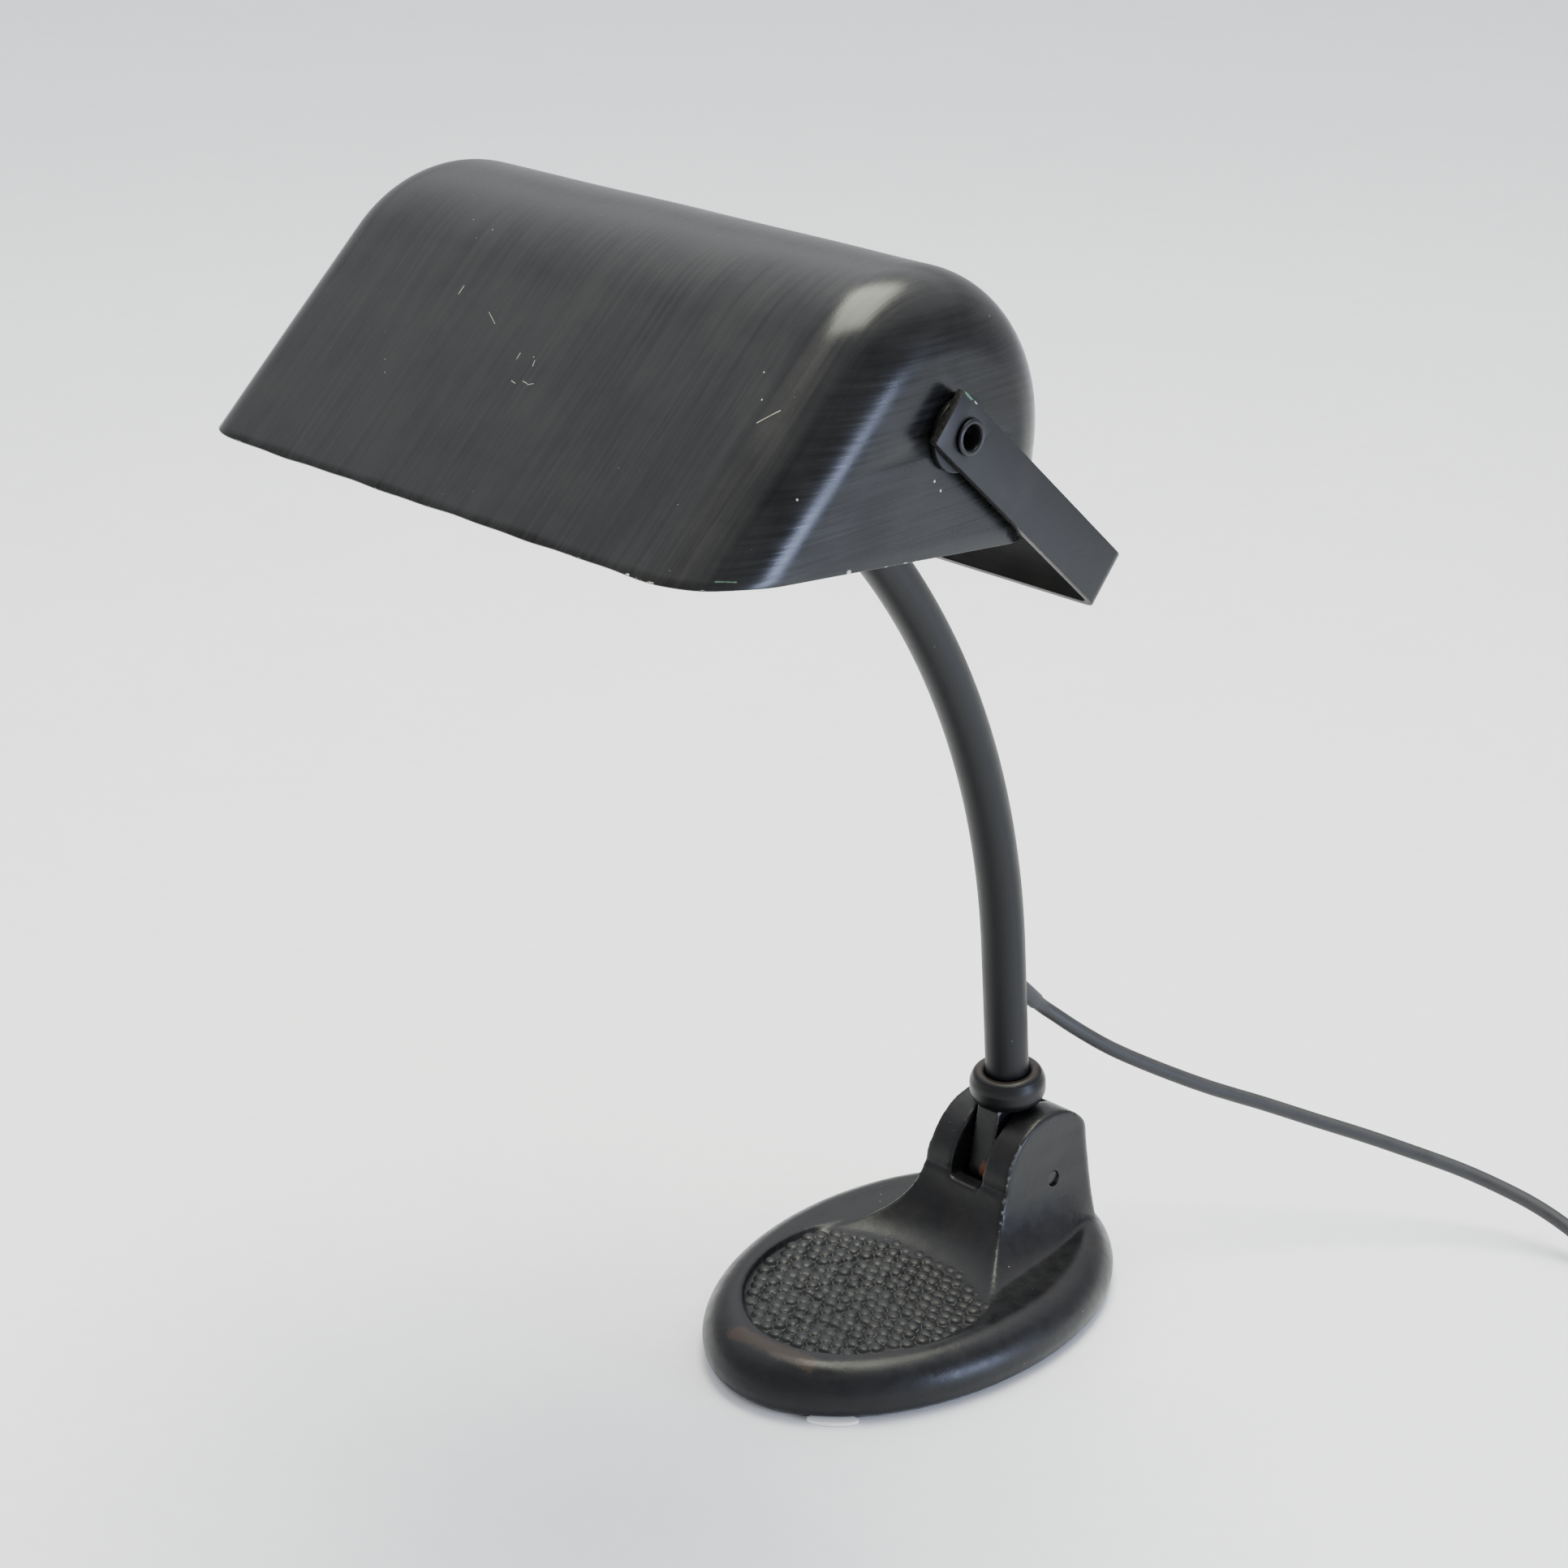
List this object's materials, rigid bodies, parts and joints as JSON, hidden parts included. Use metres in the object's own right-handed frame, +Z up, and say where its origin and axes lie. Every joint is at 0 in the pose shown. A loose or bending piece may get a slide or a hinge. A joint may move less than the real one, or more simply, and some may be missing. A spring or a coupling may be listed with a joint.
{
  "type": "banker desk lamp",
  "caption": "Desk lamp with an oval weighted base, a bent tubular stem tilting in a fork, and a long shade tilting in a U-shaped bracket.",
  "frame": {"origin": "on the table, below the root of the stem", "axes": "+Z up, +X along the shade to its right-hand end, -Y towards the front, where the shade reaches"},
  "size_m": [0.3888, 0.5073, 0.4266],
  "materials": {
    "cast_iron_black": "matte black paint over cast iron",
    "black_paint": "brushed-on satin black paint, worn at the edges",
    "felt": "grey wool felt",
    "steel": "plain steel",
    "brass": "plain brass",
    "rubber": "matte dark grey rubber",
    "bakelite": "dark brown bakelite",
    "porcelain": "glazed white porcelain",
    "bulb_glass": "frosted glass",
    "tie_strap": "black woven strap"
  },
  "bodies": {
    "base": {"base_casting": "cast_iron_black", "base_felt": "felt", "fork_pin": "steel", "cord_lead": "rubber", "cord_coil": "rubber", "cord_tie": "tie_strap", "cord_tail": "rubber", "plug_body": "rubber", "plug_pin_left": "brass", "plug_pin_right": "brass"},
    "stem": {"pivot_knuckle": "cast_iron_black", "friction_washer_left": "brass", "friction_washer_right": "brass", "collar_ring": "black_paint", "stem_tube": "black_paint", "cord_relief": "rubber", "stem_flex": "rubber", "stem_nipple": "brass", "tube_end_bush": "steel", "lock_washer": "steel", "lock_nut": "brass", "shade_bracket": "black_paint", "spacer_washer_left": "black_paint", "spacer_washer_right": "black_paint", "inner_washer_left": "black_paint", "inner_washer_right": "black_paint", "pivot_rivet_left": "black_paint", "pivot_rivet_right": "black_paint"},
    "shade": {"shade_shell": "black_paint", "lampholder_strap": "steel", "strap_rivet_lower": "steel", "strap_rivet_upper": "steel", "holder_nipple": "brass", "holder_nut": "brass", "lampholder_cap": "bakelite", "lampholder_skirt": "bakelite", "lampholder_insert": "porcelain", "centre_contact": "brass", "screw_shell": "brass", "bulb_cap": "brass", "bulb_glass": "bulb_glass", "lampholder_flex": "rubber"}
  },
  "joints": [
    {"name": "base_tilt", "type": "hinge", "parent": "base", "child": "stem", "pos_m": [0, 0.0041, 0.0406], "axis": [1, 0, 0], "range_deg": [0, 30]},
    {"name": "shade_tilt", "type": "hinge", "parent": "stem", "child": "shade", "pos_m": [0, -0.16566, 0.38268], "axis": [1, 0, 0], "range_deg": [-20, 45]}
  ]
}
